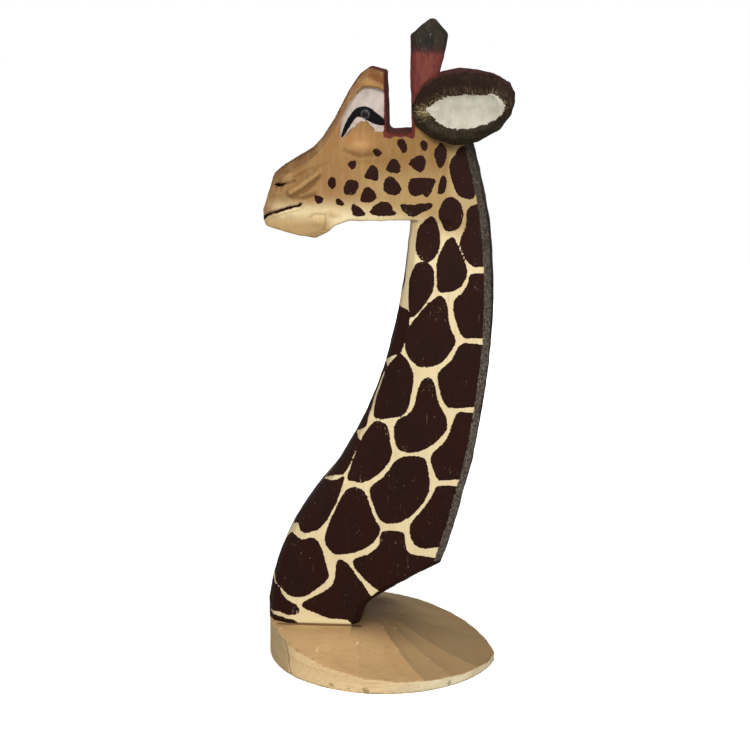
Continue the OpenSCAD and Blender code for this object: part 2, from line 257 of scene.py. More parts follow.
def distance_in(x, z, outline):
    """Distance in mm from a closed outline: positive inside it, negative outside."""
    nearest = np.full(x.shape, 1e9)
    odd = np.zeros(x.shape, bool)
    outline = np.array(outline, float)
    for a, b in zip(outline, np.roll(outline, -1, 0)):
        nearest = np.minimum(nearest, from_segment(x, z, a, b)[1])
        if a[1] != b[1]:
            crossing = (b[0] - a[0]) * (z - a[1]) / (b[1] - a[1]) + a[0]
            odd ^= ((a[1] > z) != (b[1] > z)) & (x < crossing)
    return np.where(odd, 1, -1) * np.sqrt(nearest)


def distance_to(x, z, path):
    """Distance in mm to an open path, and the nearest place along it, 0 to 1."""
    best = np.full(x.shape, 1e9)
    place = np.zeros(x.shape)
    path = np.array(path, float)
    for i, (a, b) in enumerate(zip(path, path[1:])):
        t, square = from_segment(x, z, a, b)
        place = np.where(square < best, (i + t) / (len(path) - 1), place)
        best = np.minimum(best, square)
    return np.sqrt(best), place


def stroke(x, z, path, width, full=0.0):
    """1 along a drawn line, out to full mm from it, falling smoothly to 0 at width mm."""
    return step(width, full, distance_to(x, z, path)[0])


def distance_in_any(x, z, outlines, margin=4.0):
    """As distance_in, for the nearest of several outlines."""
    field = np.full(x.shape, -margin)
    for outline in outlines:
        outline = np.array(outline, float)
        low, high = outline.min(0) - margin, outline.max(0) + margin
        near = (x > low[0]) & (x < high[0]) & (z > low[1]) & (z < high[1])
        field[near] = np.maximum(field[near], distance_in(x[near], z[near], outline))
    return field


def oval(x, z, centre, half, turn=0.0):
    """1 in the middle of a turned oval, falling smoothly to 0 at its edge."""
    c, s = math.cos(math.radians(turn)), math.sin(math.radians(turn))
    u = ((x - centre[0]) * c + (z - centre[1]) * s) / half[0]
    v = (-(x - centre[0]) * s + (z - centre[1]) * c) / half[1]
    return step(1, 0, np.sqrt(u * u + v * v))


def waves(co, size, seed, count=5):
    """Smooth seeded unevenness between about -1 and 1, with bumps about size mm across."""
    rng = np.random.default_rng(seed)
    total = np.zeros(len(co))
    for _ in range(count):
        direction = rng.normal(size=3)
        direction *= rng.uniform(0.7, 1.5) / np.linalg.norm(direction)
        total += np.sin(co @ direction * math.tau / (2 * size) + rng.uniform(0, math.tau))
    return total / math.sqrt(count) / 1.4


def knife_cuts(co, size, seed, stretch=(1, 1, 1)):
    """Shallow scoops that meet in ridges: 0 on a ridge, 1 in the middle of a cut."""
    q = co / np.array(stretch)
    low, high = q.min(0), q.max(0)
    rng = np.random.default_rng(seed)
    number = int(np.prod((high - low) / size + 1)) + 8
    tree = kdtree.KDTree(number)
    for i, point in enumerate(rng.uniform(low - size / 2, high + size / 2, (number, 3))):
        tree.insert(point, i)
    tree.balance()
    nearest = np.array([tree.find(v)[2] for v in q.tolist()])
    return 1 - np.clip(nearest / size, 0, 1) ** 2


# ------------------------ meshes


def add(name, data):
    made = bpy.data.objects.new(name, data)
    bpy.context.collection.objects.link(made)
    return made


def remeshed(node, name, voxel):
    """A new object with a CAD node's shape, in small even faces."""
    rough = add(name + "_rough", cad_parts[node].data.copy())
    remesh = rough.modifiers.new("Remesh", "REMESH")
    remesh.mode = "VOXEL"
    remesh.voxel_size = voxel * MM
    evaluated = rough.evaluated_get(bpy.context.evaluated_depsgraph_get())
    mesh = bpy.data.meshes.new_from_object(evaluated)
    bpy.data.objects.remove(rough)
    mesh.name = name
    mesh.materials.clear()
    return add(name, mesh)


def points(piece):
    co = np.empty(len(piece.data.vertices) * 3)
    piece.data.vertices.foreach_get("co", co)
    return co.reshape(-1, 3) / MM


def normals(piece):
    no = np.empty(len(piece.data.vertices) * 3)
    piece.data.vertices.foreach_get("normal", no)
    return no.reshape(-1, 3)


def place(piece, co):
    piece.data.vertices.foreach_set("co", (co * MM).ravel())
    piece.data.update()


def refine(piece, wanted):
    """Splits each chosen face in four. wanted takes the faces' middles and normals."""
    work = bmesh.new()
    work.from_mesh(piece.data)
    work.faces.ensure_lookup_table()
    middles = np.array([f.calc_center_median() for f in work.faces]) / MM
    facing = np.array([f.normal for f in work.faces])
    chosen = np.nonzero(wanted(middles, facing))[0]
    edges = list({e for i in chosen for e in work.faces[i].edges})
    bmesh.ops.subdivide_edges(work, edges=edges, cuts=1, use_grid_fill=True)
    work.to_mesh(piece.data)
    work.free()


def soften(piece, rounds, factor=0.5):
    """Rounds off the small steps and sharp corners, as sanding does."""
    mesh = piece.data
    edges = np.empty(len(mesh.edges) * 2, int)
    mesh.edges.foreach_get("vertices", edges)
    a, b = edges.reshape(-1, 2).T
    co = points(piece)
    count = np.bincount(a, minlength=len(co)) + np.bincount(b, minlength=len(co))
    for turn in range(rounds * 2):
        total = np.zeros_like(co)
        for axis in range(3):
            total[:, axis] = np.bincount(a, co[b, axis], len(co))
            total[:, axis] += np.bincount(b, co[a, axis], len(co))
        pull = total / count[:, None] - co
        co = co + pull * (factor if turn % 2 == 0 else -factor * 0.9)
    place(piece, co)


def attribute(piece, name, values):
    layer = piece.data.attributes.new(name, "FLOAT", "POINT")
    layer.data.foreach_set("value", np.asarray(values, np.float32))


def colour_attribute(piece, name, values):
    layer = piece.data.attributes.new(name, "FLOAT_COLOR", "POINT")
    rgba = np.ones((len(values), 4), np.float32)
    rgba[:, :3] = values
    layer.data.foreach_set("color", rgba.ravel())


class Coats:
    """A colour for each point, built up in coats."""

    def __init__(self, count, colour):
        self.colour = np.tile(np.array(colour), (count, 1))

    def lay(self, weight, colour):
        self.colour = self.colour + weight[:, None] * (np.array(colour) - self.colour)


def finish_piece(piece, material, slot, *nodes):
    piece.data.materials.append(material)
    piece.data.polygons.foreach_set("use_smooth", [True] * len(piece.data.polygons))
    piece.data.update()
    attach(piece, "root")
    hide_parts(*nodes)


# ------------------------ materials


def rgb(red, green, blue):
    """A colour as seen on a screen, 0 to 255, in the linear values that shaders use."""
    levels = [c / 255 for c in (red, green, blue)]
    return tuple(((v + 0.055) / 1.055) ** 2.4 if v > 0.04045 else v / 12.92 for v in levels)


class Shader:
    """A Principled material that is built up in layers of paint."""

    def __init__(self, name, roughness, metallic=0.0, specular=0.5):
        self.material = bpy.data.materials.new(name)
        self.material.use_nodes = True
        self.tree = self.material.node_tree
        self.surface = self.tree.nodes["Principled BSDF"]
        self.surface.inputs["Roughness"].default_value = roughness
        self.surface.inputs["Metallic"].default_value = metallic
        self.surface.inputs["Specular IOR Level"].default_value = specular
        self.where = self.node("ShaderNodeTexCoord").outputs["Object"]
        self.height = None

    def node(self, kind, **settings):
        made = self.tree.nodes.new(kind)
        for key, value in settings.items():
            setattr(made, key, value)
        return made

    def feed(self, socket, value):
        if isinstance(value, bpy.types.NodeSocket):
            self.tree.links.new(value, socket)
        elif isinstance(value, tuple) and socket.type == "RGBA":
            socket.default_value = (*value, 1)
        else:
            socket.default_value = value

    def math(self, operation, a, b=0.0, clamp=False):
        made = self.node("ShaderNodeMath", operation=operation, use_clamp=clamp)
        self.feed(made.inputs[0], a)
        self.feed(made.inputs[1], b)
        return made.outputs[0]

    def axes(self, vector):
        split = self.node("ShaderNodeSeparateXYZ")
        self.feed(split.inputs[0], vector)
        return [split.outputs[axis] for axis in "XYZ"]

    def hypot(self, a, b):
        squares = self.math("ADD", self.math("POWER", a, 2.0), self.math("POWER", b, 2.0))
        return self.math("SQRT", squares)

    def times(self, a, b):
        return self.math("MULTIPLY", a, b)

    def read(self, name, output="Fac"):
        return self.node("ShaderNodeAttribute", attribute_name=name).outputs[output]

    def noise(self, size, stretch=(1, 1, 1), detail=3.0, roughness=0.55, twist=0.0, turn=(0, 0, 0)):
        """Noise between 0 and 1 with features about size mm across, longer along stretch."""
        mapping = self.node("ShaderNodeMapping")
        self.feed(mapping.inputs["Vector"], self.where)
        mapping.inputs["Rotation"].default_value = [math.radians(v) for v in turn]
        mapping.inputs["Scale"].default_value = [1 / (size * MM * s) for s in stretch]
        made = self.node("ShaderNodeTexNoise")
        self.feed(made.inputs["Vector"], mapping.outputs["Vector"])
        made.inputs["Scale"].default_value = 1
        made.inputs["Detail"].default_value = detail
        made.inputs["Roughness"].default_value = roughness
        made.inputs["Distortion"].default_value = twist
        return made.outputs["Fac"]

    def between(self, value, low, high, out_low=0.0, out_high=1.0):
        made = self.node("ShaderNodeMapRange", clamp=True)
        self.feed(made.inputs["Value"], value)
        made.inputs["From Min"].default_value = low
        made.inputs["From Max"].default_value = high
        made.inputs["To Min"].default_value = out_low
        made.inputs["To Max"].default_value = out_high
        return made.outputs["Result"]

    def mix(self, factor, a, b):
        made = self.node("ShaderNodeMix", data_type="RGBA", clamp_factor=True)
        self.feed(made.inputs["Factor"], factor)
        self.feed(made.inputs[6], a)
        self.feed(made.inputs[7], b)
        return made.outputs[2]

    def tint(self, colour, other, value, low, high, most=1.0):
        """A colour that turns into another as value goes from low to high."""
        return self.mix(self.between(value, low, high, 0.0, most), colour, other)

    def painted(self, name, ragged=0.8, size=2.0, soft=0.12, stretch=(1, 1, 1)):
        """Where a coat of paint lies: its signed distance, with a hand-made edge."""
        wobble = self.centred(self.noise(size, stretch), ragged * 2)
        drift = self.centred(self.noise(size * 4, detail=1), ragged * 1.5)
        off = self.math("ADD", wobble, drift)
        return self.between(self.math("ADD", self.read(name), off), -soft, soft)

    def centred(self, noise, reach):
        """Noise as a shift either way, by reach in all."""
        return self.times(self.math("SUBTRACT", noise, 0.5), reach)

    def raise_by(self, value, amount):
        part = self.times(value, amount)
        self.height = part if self.height is None else self.math("ADD", self.height, part)

    def done(self, colour, roughness=None):
        self.feed(self.surface.inputs["Base Color"], colour)
        if roughness is not None:
            self.feed(self.surface.inputs["Roughness"], roughness)
        if self.height is not None:
            bump = self.node("ShaderNodeBump")
            bump.inputs["Strength"].default_value = 1
            bump.inputs["Distance"].default_value = MM
            self.feed(bump.inputs["Height"], self.height)
            self.feed(self.surface.inputs["Normal"], bump.outputs["Normal"])
        return self.material


PATCH_BROWN = rgb(46, 19, 13)
CREAM = rgb(242, 222, 176)
MAROON = rgb(92, 38, 32)
BLACK = rgb(12, 10, 12)
EYE_PAINT = rgb(206, 191, 182)
TERRACOTTA = rgb(128, 68, 56)
CAP = rgb(38, 34, 29)

# Year rings of the foot plate's wood

RING_WIDTH = 7.5
RING_BEND = 14


def ground_paint(m, grain, streak):
    """The cream and tan under-colour with its painted highlights and shade, streaked along the board."""
    ground_and_shading = m.read("ground_and_shading", "Color")
    ground_and_shading = m.tint(ground_and_shading, rgb(216, 192, 140), streak, 0.45, 0.7, 0.15)
    ground_and_shading = m.tint(ground_and_shading, rgb(140, 104, 64), grain, 0.5, 0.72, 0.16)
    mottle = m.noise(7, detail=3)
    ground_and_shading = m.tint(ground_and_shading, rgb(176, 134, 86), mottle, 0.5, 0.78, 0.16)
    return m.mix(m.painted("foot_strip", 0.4, 2, 0.15), ground_and_shading, CREAM)


def patch_paint(m):
    """Where the dark patches lie, rubbed here and there, and their brushed brown."""
    patch = m.painted("patch", 0.55, 1.2, 0.09)
    worn = m.between(m.noise(0.6, (1, 1, 3), detail=3, turn=(0, 25, 0)), 0.64, 0.69)
    near_edge = m.between(m.read("patch"), 2.2, 0.2, 0.3, 1)
    rub = m.times(m.times(worn, m.between(m.noise(9), 0.57, 0.64)), near_edge)
    patch = m.math("SUBTRACT", patch, m.times(rub, 0.75), clamp=True)
    dark = m.tint(PATCH_BROWN, rgb(38, 20, 14), m.noise(9, (1, 1, 2)), 0.35, 0.7)
    brushed = m.noise(1.1, (1, 1, 16), detail=4, turn=(0, 20, 0))
    dark = m.tint(dark, rgb(92, 58, 44), brushed, 0.6, 0.8, 0.22)
    hairline = m.between(m.noise(0.5, (1, 1, 26), detail=1, turn=(0, 24, 0)), 0.73, 0.76, 0, 0.5)
    hairline = m.times(hairline, m.between(m.noise(16), 0.5, 0.6))
    return patch, m.mix(hairline, dark, rgb(150, 118, 100))


def horn_paint(m, streak):
    """The horns' streaked terracotta, with pale scratches."""
    red = m.tint(TERRACOTTA, rgb(102, 48, 46), streak, 0.35, 0.7)
    scratch = m.between(m.noise(0.55, (1, 1, 9), detail=2), 0.72, 0.78, 0, 0.6)
    return m.mix(scratch, red, rgb(200, 140, 120))


def mane_paint(m, hair):
    """The mane's dabbed grey, darker up the neck, with painted shade along its outer edge."""
    grey = m.tint(rgb(44, 37, 33), rgb(126, 116, 104), hair, 0.4, 0.6)
    dabs = m.noise(0.5, (3, 3, 1), detail=3)
    grey = m.tint(grey, rgb(166, 156, 140), dabs, 0.6, 0.7, 0.8)
    grey = m.tint(grey, rgb(40, 33, 29), m.noise(12), 0.55, 0.72, 0.75)
    height = m.axes(m.where)[2]
    grey = m.tint(grey, rgb(44, 36, 31), height, 150 * MM, 240 * MM, 0.6)
    # Painted shade along the mane's outer edge.
    return m.mix(m.painted("mane_edge", 0.3, 2, 0.3), grey, rgb(30, 24, 23))


def cap_paint(m, streak):
    """The horns' dark tips, brushed aslant and reddish where they start."""
    dark = m.tint(CAP, rgb(58, 50, 40), streak, 0.4, 0.7)
    slant = m.noise(0.5, (1, 1, 9), detail=2, turn=(0, -32, 0))
    dark = m.tint(dark, rgb(136, 128, 104), slant, 0.62, 0.7, 0.6)
    return m.tint(dark, rgb(84, 38, 42), m.read("cap"), 4, 0, 0.6)


def painted_wood():
    """The carving's paint: cream and tan under-colour with painted light and shade; dark patches and
    trims over it.
    """
    m = Shader("painted_wood", roughness=0.5, specular=0.1)
    grain = m.noise(1.1, (1, 1, 22), detail=4)
    streak = m.noise(2.4, (1, 1, 5), detail=4, twist=0.4)
    patch, dark = patch_paint(m)
    colour = m.mix(patch, ground_paint(m, grain, streak), dark)
    m.raise_by(patch, 0.07)
    horn = m.painted("horn", 0.9, 1.4, 0.7, (1, 1, 3))
    colour = m.mix(horn, colour, horn_paint(m, streak))
    trim_red = m.tint(MAROON, rgb(120, 58, 48), streak, 0.4, 0.75)
    colour = m.mix(m.painted("maroon", 0.5, 1.8, 0.25), colour, trim_red)

    white = m.painted("white", 0.25, 2.2, 0.12)
    eye = m.tint(EYE_PAINT, rgb(186, 174, 166), m.noise(2.2, (1, 1, 2)), 0.4, 0.7)
    colour = m.mix(white, colour, eye)
    m.raise_by(white, 0.05)
    black = m.painted("black", 0.2, 1.2, 0.1)
    colour = m.mix(black, colour, BLACK)
    m.raise_by(black, 0.05)

    mane = m.painted("mane", 0.3, 2.4, 0.3)
    hair = m.noise(0.8, (1, 1, 1.6), detail=4, roughness=0.7)
    colour = m.mix(mane, colour, mane_paint(m, hair))
    m.raise_by(m.times(mane, hair), 0.5)
    cap = m.painted("cap", 2.4, 1.6, 0.9, (1, 1, 3))
    colour = m.mix(cap, colour, cap_paint(m, streak))

    # Painted shade: dark brown laid into the carving's cuts and folds.
    colour = m.mix(m.times(m.read("wear_and_shade"), 0.75), colour, rgb(62, 40, 24))
    speck = m.noise(0.7, detail=2)
    colour = m.tint(colour, rgb(226, 208, 168), speck, 0.74, 0.78, 0.35)
    m.raise_by(grain, 0.07)
    m.raise_by(streak, 0.07)
    gloss = m.between(m.math("ADD", streak, m.times(patch, -0.15)), 0.2, 0.8, 0.52, 0.74)
    return m.done(colour, gloss)


def ear_paint():
    """An ear: dark brushed rim, dry off-white inside, with strokes where the two meet."""
    m = Shader("ear_paint", roughness=0.6, specular=0.1)
    streak = m.noise(1.1, (1, 1, 7), detail=4)
    rim = m.tint(rgb(38, 26, 19), rgb(46, 33, 24), m.noise(5), 0.4, 0.65)
    rim = m.tint(rim, rgb(92, 74, 50), streak, 0.56, 0.72, 0.4)
    olive = m.tint(rgb(48, 40, 28), rgb(88, 80, 54), streak, 0.5, 0.7, 0.6)
    rim = m.tint(rim, olive, m.read("lower"), -2, 4)
    purple = m.tint(rgb(66, 42, 40), rgb(88, 46, 44), streak, 0.4, 0.7)
    rim = m.mix(m.painted("band", 1.2, 2.5, 0.8), rim, purple)
    strokes = m.noise(0.42, (1, 1, 7), detail=3)
    reach = m.between(m.math("ADD", m.read("stroke"), m.times(m.noise(3), 2.5)), -2.6, 1.6)
    brushed = m.times(m.between(strokes, 0.5, 0.66), reach)
    patchy = m.between(m.noise(7), 0.35, 0.6, 0.25, 1)
    colour = m.mix(m.times(brushed, patchy), rim, rgb(176, 154, 112))
    hairs = m.between(m.noise(0.7, (5, 5, 1), detail=3), 0.42, 0.6)
    fan = m.times(m.painted("smear", 2.2, 1.0, 1.6), hairs)
    colour = m.mix(fan, colour, rgb(196, 180, 130))
    white = m.painted("white", 1.1, 1.0, 0.12)
    dry = m.tint(rgb(208, 203, 187), rgb(190, 184, 167), m.noise(3.5), 0.35, 0.7)
    dry = m.tint(dry, rgb(232, 231, 222), m.noise(0.8), 0.68, 0.72, 0.5)
    dry = m.tint(dry, rgb(70, 56, 44), m.noise(1.6), 0.76, 0.78)
    colour = m.mix(white, colour, dry)
    m.raise_by(white, 0.12)
    m.raise_by(streak, 0.3)
    m.raise_by(m.noise(1.2), 0.1)
    return m.done(colour, m.between(streak, 0.3, 0.7, 0.5, 0.75))


def bare_wood():
    """Pale softwood with wide year rings and fine fibres along X."""
    m = Shader("bare_wood", roughness=0.62, specular=0.25)
    bend = m.noise(60, (2.4, 1, 1), detail=2)
    mapping = m.node("ShaderNodeMapping")
    m.feed(mapping.inputs["Vector"], m.where)
    mapping.inputs["Location"].default_value = [0.03, 0.006, 0.06]
    mapping.inputs["Rotation"].default_value = [0, math.radians(7), math.radians(12)]
    _, across, up = m.axes(mapping.outputs["Vector"])
    radius = m.math("ADD", m.hypot(across, up), m.times(bend, RING_BEND * MM))
    ring = m.math("FRACT", m.math("DIVIDE", radius, RING_WIDTH * MM))
    late = m.between(ring, 0.45, 0.95)
    fibre = m.noise(0.7, (30, 1, 1), detail=4)
    cloud = m.noise(22, (2, 1, 1), detail=2)
    colour = m.read("tone_and_shade", "Color")
    colour = m.mix(m.times(late, 0.13), colour, rgb(150, 106, 60))
    colour = m.tint(colour, rgb(170, 136, 90), cloud, 0.4, 0.75, 0.3)
    colour = m.tint(colour, rgb(146, 104, 60), fibre, 0.5, 0.75, 0.35)
    pore = m.between(m.noise(0.5, (9, 1, 1), detail=2), 0.72, 0.76, 0, 0.5)
    colour = m.mix(pore, colour, rgb(118, 82, 48))
    colour = m.tint(colour, rgb(232, 206, 152), m.noise(1.1, detail=2), 0.75, 0.79, 0.6)
    # Painted highlight: pale specks along the ridges between the facets.
    colour = m.mix(m.times(m.read("ridge_highlight"), 0.7), colour, rgb(240, 214, 164))
    # Painted shadow by the foot and in the crack, mixed with wear along the rim and chips.
    colour = m.mix(m.read("wear_and_shade"), colour, rgb(66, 44, 26))
    m.raise_by(fibre, 0.16)
    m.raise_by(m.noise(2.5, (3, 1, 1)), 0.15)
    return m.done(colour, m.between(late, 0, 1, 0.55, 0.68))


def plain_wood():
    """The pegs' wood."""
    m = Shader("dowel_wood", roughness=0.65, specular=0.25)
    fibre = m.noise(0.5, (1, 1, 14), detail=4)
    colour = m.tint(rgb(206, 172, 120), rgb(160, 120, 74), fibre, 0.35, 0.7)
    m.raise_by(fibre, 0.12)
    return m.done(colour)


def screw_steel():
    """Zinc-plated screw steel with handling marks."""
    m = Shader("screw_steel", roughness=0.36, metallic=1.0)
    scuff = m.noise(1.5, (1, 6, 1), detail=4)
    colour = m.tint(rgb(176, 176, 172), rgb(120, 118, 112), scuff, 0.35, 0.7)
    m.raise_by(scuff, 0.04)
    return m.done(colour, m.between(scuff, 0.3, 0.7, 0.28, 0.5))


def pin_paint():
    """A pupil: black, with a patchy grey ring painted as its highlight."""
    m = Shader("pin_paint", roughness=0.5, specular=0.2)
    spot = m.noise(1.2, detail=3)
    colour = m.tint(BLACK, rgb(60, 58, 60), spot, 0.5, 0.8, 0.3)
    x, _, z = m.axes(m.where)
    reach = m.hypot(m.math("SUBTRACT", x, EYE[0] * MM), m.math("SUBTRACT", z, EYE[1] * MM))
    off = m.math("ABSOLUTE", m.math("SUBTRACT", reach, PUPIL_RING * MM))
    # Painted highlight: a grey ring round the pupil.
    ring = m.times(m.between(off, 0.45 * MM, 0.15 * MM), m.between(spot, 0.3, 0.6, 0.2, 0.7))
    colour = m.mix(ring, colour, rgb(104, 100, 98))
    m.raise_by(spot, 0.05)
    return m.done(colour)


# ------------------------ the carving


def back_edge(co):
    """The neck's rearmost x at each height, as a table over z."""
    heights = np.arange(19, 262, 3.0)
    neck = co[(co[:, 2] < 264) & (np.abs(co[:, 1]) < 14.6)]
    rear = [neck[np.abs(neck[:, 2] - h) < 2.5, 0].max() for h in heights]
    return heights, np.array(rear)


def side_of(no):
    """How far each point faces sideways, 0 to 1."""
    return np.abs(no[:, 1])


def face_width(z):
    """Half the width of the head at a height, which narrows towards the brow."""
    return HALF_HEAD - BEVEL_SLOPE * np.clip(z - BEVEL_START, 0, BEVEL_HEIGHT)


def eye_relief(x, z):
    """The hollow of the eye with its ball and lash, and the lower lid's mound."""
    eye = distance_in(x, z, curve(EYE_WHITE))
    mound = distance_in(x, z, LID_MOUND)
    ball = np.exp(-(((x - EYE[0]) / 8.5) ** 2) - (((z - EYE[1] + 1) / 6.5) ** 2))
    socket = step(-0.5, 0.9, eye) * (3.0 - 0.8 * ball)
    lash = step(-0.3, 0.4, distance_in(x, z, curve(LASH)))
    socket -= 0.2 * lash * step(-0.5, 0.7, eye)
    lid = 0.45 * step(0, 7, mound)
    above = socket * step(0.2, -0.6, mound) + 0.2 * step(-0.6, 0.2, mound)
    depth = np.where(mound > 0, np.minimum(socket, lid), above)
    depth -= 1.1 * oval(x, z, (-9, 245.6), (11, 5.5), 3)
    depth += 0.6 * stroke(x, z, [(-16.5, 242), (-10, 239.8), (-3, 240.6)], 1.8)
    return depth + 0.4 * oval(x, z, (-9, 237), (12, 4))


def brow_relief(x, z):
    """The brow, and the bevel that runs down the front of the face."""
    edge, along = distance_to(x, z, HEAD_FRONT)
    broad = 3.4 + 1.4 * step(0.4, 0.6, along)
    bevel = step(broad, broad - 3.2, edge) * step(0, 0.05, along) * step(0.92, 0.8, along)
    brow = stroke(x, z, [(-9, 271.5), (-4, 272), (0.5, 269.5)], 2.2)
    crease = stroke(x, z, [(-8, 275.6), (-3.5, 275), (0.5, 271.5)], 1.2)
    return 1.6 * bevel - 0.5 * brow + 0.35 * crease


def muzzle_relief(x, z):
    """The nostril with its groove, and the folds that run back from it."""
    depth = 1.8 * oval(x, z, (-46.6, 226.5), (3.2, 1.4), 6)
    groove, on_groove = distance_to(x, z, curve([(-47, 226.4), (-43.5, 227.4), (-40, 228.8)], False))
    depth += 0.9 * step(1.1, 0, groove) * (1 - 0.7 * on_groove)
    depth -= 0.8 * oval(x, z, (-44, 229.9), (5, 2), 14)
    depth -= 0.5 * oval(x, z, (-47, 223), (3.5, 2.2), 10)
    depth += 0.8 * oval(x, z, (-36, 231.6), (8, 1.6), 32)
    wedge, on_wedge = distance_to(x, z, [(-31, 233.7), (-23, 237.8)])
    depth += 0.35 * step(1.8, 0, wedge) * (1 - on_wedge)
    depth -= 1.4 * stroke(x, z, curve(MUZZLE_RIDGE, False), 2.8)
    fold, on_fold = distance_to(x, z, curve(MUZZLE_FOLD, False))
    depth += 0.9 * step(1.7, 0, fold) * (0.4 + 0.6 * np.sin(np.pi * on_fold))
    depth -= 0.7 * stroke(x, z, [(-37, 222), (-30.5, 224.6)], 2.2)
    return depth + 0.5 * stroke(x, z, LOWER_FOLD, 1.4)


def mouth_relief(x, z):
    """The cut of the mouth, the lips along it, and the flat cuts of the chin."""
    mouth, on_mouth = distance_to(x, z, MOUTH)
    depth = (1.3 - 0.7 * on_mouth) * step(1.2 - 0.4 * on_mouth, 0.2, mouth)
    depth -= 0.35 * step(0.7, 0, np.abs(mouth - 1.5)) * (z > 210.5)
    depth -= 0.4 * stroke(x, z, [(-52, 215.6), (-46, 217.6), (-40, 219.2)], 2)
    depth += 0.45 * oval(x, z, (-44, 210.5), (9, 2.8), 14)
    depth -= 0.9 * oval(x, z, (-29, 210.5), (4.5, 2.8), 4)
    depth -= 0.7 * oval(x, z, (-22, 214.5), (5, 2.6), -8)
    return depth + 0.55 * stroke(x, z, CHIN_CREASE, 0.9)


def head_relief(x, z):
    """Depth cut into the side of the head, in mm; below 0 it stands proud."""
    return eye_relief(x, z) + brow_relief(x, z) + muzzle_relief(x, z) + mouth_relief(x, z)


def sculpt_carving(piece):
    """Cuts the eyes, muzzle folds and knife marks into the plain CAD shape."""
    co, no = points(piece), normals(piece)
    x, y, z = co.T
    side = np.abs(y)
    sideways = step(0.3, 0.65, side_of(no))

    face = face_width(z)
    reach = np.hypot(x - EYE[0], z - EYE[1])
    hollow = (reach < EYE_HOLLOW + 0.4) & (side > 9) & (side_of(no) > 0.3) & (x < NOTCH[0] - 0.6)
    side = np.where(hollow, face, side)
    on_head = (z > 203) & (x < NOTCH[0] - 0.5) & (z < 281) & (side > 6)
    relief = np.where(on_head, head_relief(np.minimum(x, 0.6), z), 0)
    outer = side > face * np.where(x < -20, 0.6, 0.88)
    cut = np.minimum(side, face - relief)
    carved = sideways * (side - relief) + (1 - sideways) * np.where(x > -19, cut, side)
    co[:, 1] = np.sign(y) * np.where(on_head & outer, carved, side)

    place(piece, co)
    no = normals(piece)
    x, y, z = co.T
    long_cuts = knife_cuts(co, 9, 11, (1, 1, 3.2))
    on_neck = step(212, 200, z) * step(20, 26, z)
    small_cuts = knife_cuts(co, 5, 12)
    on_edges = step(0.95, 0.7, side_of(no)) * step(20, 26, z)
    lean = 0.22 * (long_cuts - 0.6) * on_neck + 0.3 * (small_cuts - 0.6) * on_edges
    lean += 0.12 * (small_cuts - 0.6) * step(205, 215, z)
    seat = (np.abs(y) > 12.6) & (x > 14) & (z > 243) & (z < 282)
    lean = np.where(seat, 0, lean)
    lean += 0.12 * waves(co, 16, 13) * on_neck
    co -= no * lean[:, None]
    place(piece, co)


def patch_field(co, no):
    """The neck's patches and the head's spots; on the right side they are shifted a little."""
    x, y, z = co.T
    other = step(0, 6, y)
    px = x + other * 1.6 * np.sin(z / 11 + 1)
    pz = z + other * 2.6 * np.sin(x / 9 + 0.5)
    turned = step(0, 0.5, -no[:, 0]) * (z < JAW_Z + 1)
    unrolled = px - turned * np.clip(14 - np.abs(y + 1.5 * np.sin(z / 12)), 0, 14)
    neck = distance_in_any(unrolled, pz, [curve(p) for p in NECK_PATCHES])
    head = distance_in_any(px, pz, [curve(p, pieces=2) for p in HEAD_SPOTS])
    below_jaw = (z < 202) | (z < JAW_Z + 1) & (x > 5)
    jaw = (z > 203) & (z < 216) & (no[:, 2] < -0.5) & (x < 24)
    patch = np.where(below_jaw | (side_of(no) > 0.45), np.maximum(neck, head + SPOT_GROWTH), -4)
    underside = (z < 52) & (no[:, 2] < -0.45) & (x > -6)
    patch = np.where(underside, 3, patch)
    return np.where(jaw, -4, patch)


def mane_field(x, z, no, back_x):
    """The painted mane, down the back of the neck and a little way round its sides."""
    mane = x - (back_x - MANE_WIDTH) + 2 * (no[:, 0] > 0.45)
    mane = np.where((z < MANE_FOOT) | (z > 268) | (no[:, 2] < -0.6), -3, mane)
    return np.where(z > 243, np.minimum(mane, 4 * (no[:, 0] - 0.25)), mane)


def trim_field(co, no, in_horn):
    """The maroon trims: round the notch, on the crown, down the forehead and by the ear."""
    x, y, z = co.T
    between_walls = (x > NOTCH[0] - 2) & (x < NOTCH[1] + 1.5)
    on_wall = (np.abs(no[:, 0]) > 0.5) & between_walls & (z > NOTCH_FLOOR - 1)
    on_floor = (no[:, 2] > 0.4) & between_walls & (np.abs(z - NOTCH_FLOOR) < 3.5)
    smears = 0.35 * np.sin(1.7 * x) + 1.1 * oval(x, z, (3, 248), (2.4, 2))
    smears += 0.8 * oval(x, z, (9.4, 247.6), (1.6, 2)) + 1.4 * oval(x, z, (13.6, 248.5), (1.6, 3))
    lap = np.minimum(np.minimum(x - 0.75, NOTCH[1] + 1.6 - x), z - NOTCH_FLOOR + 0.9 + smears)
    inside_notch = np.where(on_wall | on_floor, 1.5, lap)
    top = (no[:, 2] > 0.75) & (z > 262) & (x < NOTCH[0])
    on_brow = (z > 278.5) & (x < NOTCH[0] + 0.3)
    crown = np.where(top | on_brow, 0.9, -3)
    edge, _ = distance_to(x, z, HEAD_FRONT)
    forehead = np.where(x < 1, np.minimum(z - 258 + 1.2 * np.cos(y / 4), 0.55 - edge), -3)
    ear_line = np.interp(x, [13, 16.8, 20.8, 25.4], [263.5, 269.5, 273, 276.5]) + 1.3 - z
    ear_foot = np.minimum(np.minimum(ear_line, z - 260), 1.2)
    by_ear = np.where(in_horn & (np.abs(y) > 12), ear_foot, -3)
    return np.maximum.reduce([inside_notch, crown, forehead, by_ear])


